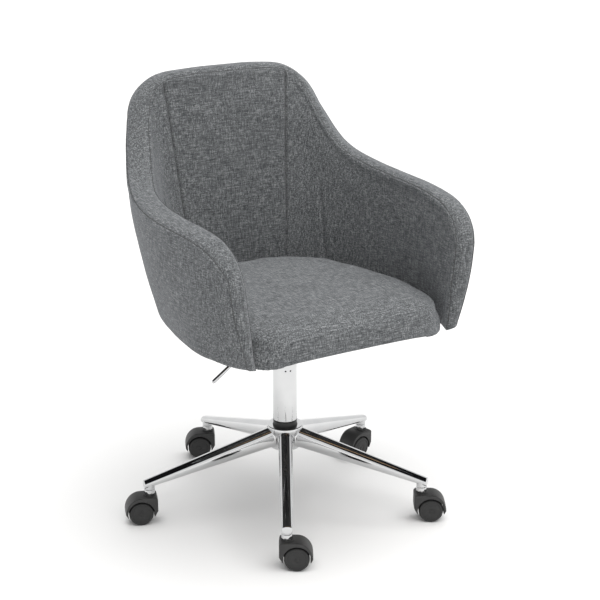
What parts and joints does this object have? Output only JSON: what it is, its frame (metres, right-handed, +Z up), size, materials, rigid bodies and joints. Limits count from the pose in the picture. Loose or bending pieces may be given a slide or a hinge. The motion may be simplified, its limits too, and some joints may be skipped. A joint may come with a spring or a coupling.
{
  "type": "swivel office chair",
  "caption": "Upholstered tub-seat swivel office chair with a gas-lift column and height lever, on a star base with twin-wheel casters.",
  "frame": {"origin": "the point of the floor under the swivel axis", "axes": "+Z up the swivel axis, -Y the way the sitter faces, +X to the sitter's left, with the tub symmetric about X = 0"},
  "size_m": [0.6473, 0.6307, 0.89],
  "materials": {
    "chrome": "polished chrome plate",
    "steel": "bright zinc-plated steel",
    "black_steel": "black powder coat",
    "black_plastic": "matte moulded nylon",
    "wheel_nylon": "satin moulded nylon",
    "rubber": "matte rubber",
    "plywood": "raw plywood",
    "upholstery": "mid-grey linen-look woven fabric over foam",
    "dust_cloth": "black non-woven cloth"
  },
  "bodies": {
    "base": {"hub": "chrome", "hub_bush": "black_plastic", "column_tube": "chrome", "guide_bush": "black_plastic", "thrust_bearing": "steel", "leg_1": "chrome", "leg_socket_1": "chrome", "caster_stem_1": "steel", "leg_2": "chrome", "leg_socket_2": "chrome", "caster_stem_2": "steel", "leg_3": "chrome", "leg_socket_3": "chrome", "caster_stem_3": "steel", "leg_4": "chrome", "leg_socket_4": "chrome", "caster_stem_4": "steel", "leg_5": "chrome", "leg_socket_5": "chrome", "caster_stem_5": "steel"},
    "lift_rod": {"piston_rod": "steel", "rubber_bumper": "rubber", "retaining_clip": "steel"},
    "seat": {"gas_cylinder": "black_steel", "taper_socket": "steel", "seat_plate": "black_steel", "seat_bolt_1": "steel", "seat_bolt_2": "steel", "seat_bolt_3": "steel", "seat_bolt_4": "steel", "lever_pin": "steel", "seat_board": "plywood", "seat_cushion": "upholstery", "frame_strap_front": "black_steel", "frame_strap_rear": "black_steel", "dust_cover": "dust_cloth", "tub_frame": "plywood", "tub_shell": "upholstery"},
    "lever": {"height_lever": "chrome"},
    "pin": {"release_pin": "steel"},
    "caster_1": {"caster_hood_1": "black_plastic", "wheel_axle_1": "steel"},
    "wheel_1a": {"wheel_1a": "wheel_nylon"},
    "wheel_1b": {"wheel_1b": "wheel_nylon"},
    "caster_2": {"caster_hood_2": "black_plastic", "wheel_axle_2": "steel"},
    "wheel_2a": {"wheel_2a": "wheel_nylon"},
    "wheel_2b": {"wheel_2b": "wheel_nylon"},
    "caster_3": {"caster_hood_3": "black_plastic", "wheel_axle_3": "steel"},
    "wheel_3a": {"wheel_3a": "wheel_nylon"},
    "wheel_3b": {"wheel_3b": "wheel_nylon"},
    "caster_4": {"caster_hood_4": "black_plastic", "wheel_axle_4": "steel"},
    "wheel_4a": {"wheel_4a": "wheel_nylon"},
    "wheel_4b": {"wheel_4b": "wheel_nylon"},
    "caster_5": {"caster_hood_5": "black_plastic", "wheel_axle_5": "steel"},
    "wheel_5a": {"wheel_5a": "wheel_nylon"},
    "wheel_5b": {"wheel_5b": "wheel_nylon"}
  },
  "joints": [
    {"name": "seat_swivel", "type": "hinge", "parent": "base", "child": "lift_rod", "pos_m": [0, 0, 0.135], "axis": [0, 0, 1], "continuous": true},
    {"name": "seat_height", "type": "slide", "parent": "lift_rod", "child": "seat", "axis": [0, 0, 1], "range_m": [0, 0.1]},
    {"name": "lever_lift", "type": "hinge", "parent": "seat", "child": "lever", "pos_m": [-0.033, 0, 0.383], "axis": [0, 1, 0], "range_deg": [0, 5], "stiffness_Nm_per_rad": 3},
    {"name": "pin_press", "type": "slide", "parent": "seat", "child": "pin", "axis": [0, 0, -1], "range_m": [0, 0.0035]},
    {"name": "caster_swivel_1", "type": "hinge", "parent": "base", "child": "caster_1", "pos_m": [-0.14611, -0.25512, 0.0616], "axis": [0, 0, 1], "continuous": true},
    {"name": "wheel_spin_1a", "type": "hinge", "parent": "caster_1", "child": "wheel_1a", "pos_m": [-0.12982, -0.26491, 0.025], "axis": [-0.515, -0.8572, 0], "continuous": true},
    {"name": "wheel_spin_1b", "type": "hinge", "parent": "caster_1", "child": "wheel_1b", "pos_m": [-0.12982, -0.26491, 0.025], "axis": [-0.515, -0.8572, 0], "continuous": true},
    {"name": "caster_swivel_2", "type": "hinge", "parent": "base", "child": "caster_2", "pos_m": [0.19749, -0.2178, 0.0616], "axis": [0, 0, 1], "continuous": true},
    {"name": "wheel_spin_2a", "type": "hinge", "parent": "caster_2", "child": "wheel_2a", "pos_m": [0.21377, -0.22758, 0.025], "axis": [-0.515, -0.8572, 0], "continuous": true},
    {"name": "wheel_spin_2b", "type": "hinge", "parent": "caster_2", "child": "wheel_2b", "pos_m": [0.21377, -0.22758, 0.025], "axis": [-0.515, -0.8572, 0], "continuous": true},
    {"name": "caster_swivel_3", "type": "hinge", "parent": "base", "child": "caster_3", "pos_m": [0.26816, 0.12052, 0.0616], "axis": [0, 0, 1], "continuous": true},
    {"name": "wheel_spin_3a", "type": "hinge", "parent": "caster_3", "child": "wheel_3a", "pos_m": [0.24981, 0.1156, 0.025], "axis": [-0.2588, 0.9659, 0], "continuous": true},
    {"name": "wheel_spin_3b", "type": "hinge", "parent": "caster_3", "child": "wheel_3b", "pos_m": [0.24981, 0.1156, 0.025], "axis": [-0.2588, 0.9659, 0], "continuous": true},
    {"name": "caster_swivel_4", "type": "hinge", "parent": "base", "child": "caster_4", "pos_m": [-0.03175, 0.29228, 0.0616], "axis": [0, 0, 1], "continuous": true},
    {"name": "wheel_spin_4a", "type": "hinge", "parent": "caster_4", "child": "wheel_4a", "pos_m": [-0.04897, 0.30031, 0.025], "axis": [0.4226, 0.9063, 0], "continuous": true},
    {"name": "wheel_spin_4b", "type": "hinge", "parent": "caster_4", "child": "wheel_4b", "pos_m": [-0.04897, 0.30031, 0.025], "axis": [0.4226, 0.9063, 0], "continuous": true},
    {"name": "caster_swivel_5", "type": "hinge", "parent": "base", "child": "caster_5", "pos_m": [-0.28779, 0.06012, 0.0616], "axis": [0, 0, 1], "continuous": true},
    {"name": "wheel_spin_5a", "type": "hinge", "parent": "caster_5", "child": "wheel_5a", "pos_m": [-0.30564, 0.06662, 0.025], "axis": [0.342, 0.9397, 0], "continuous": true},
    {"name": "wheel_spin_5b", "type": "hinge", "parent": "caster_5", "child": "wheel_5b", "pos_m": [-0.30564, 0.06662, 0.025], "axis": [0.342, 0.9397, 0], "continuous": true}
  ],
  "couplings": [
    {"joint": "pin_press", "follows": "lever_lift", "m_per_rad": 0.033}
  ]
}
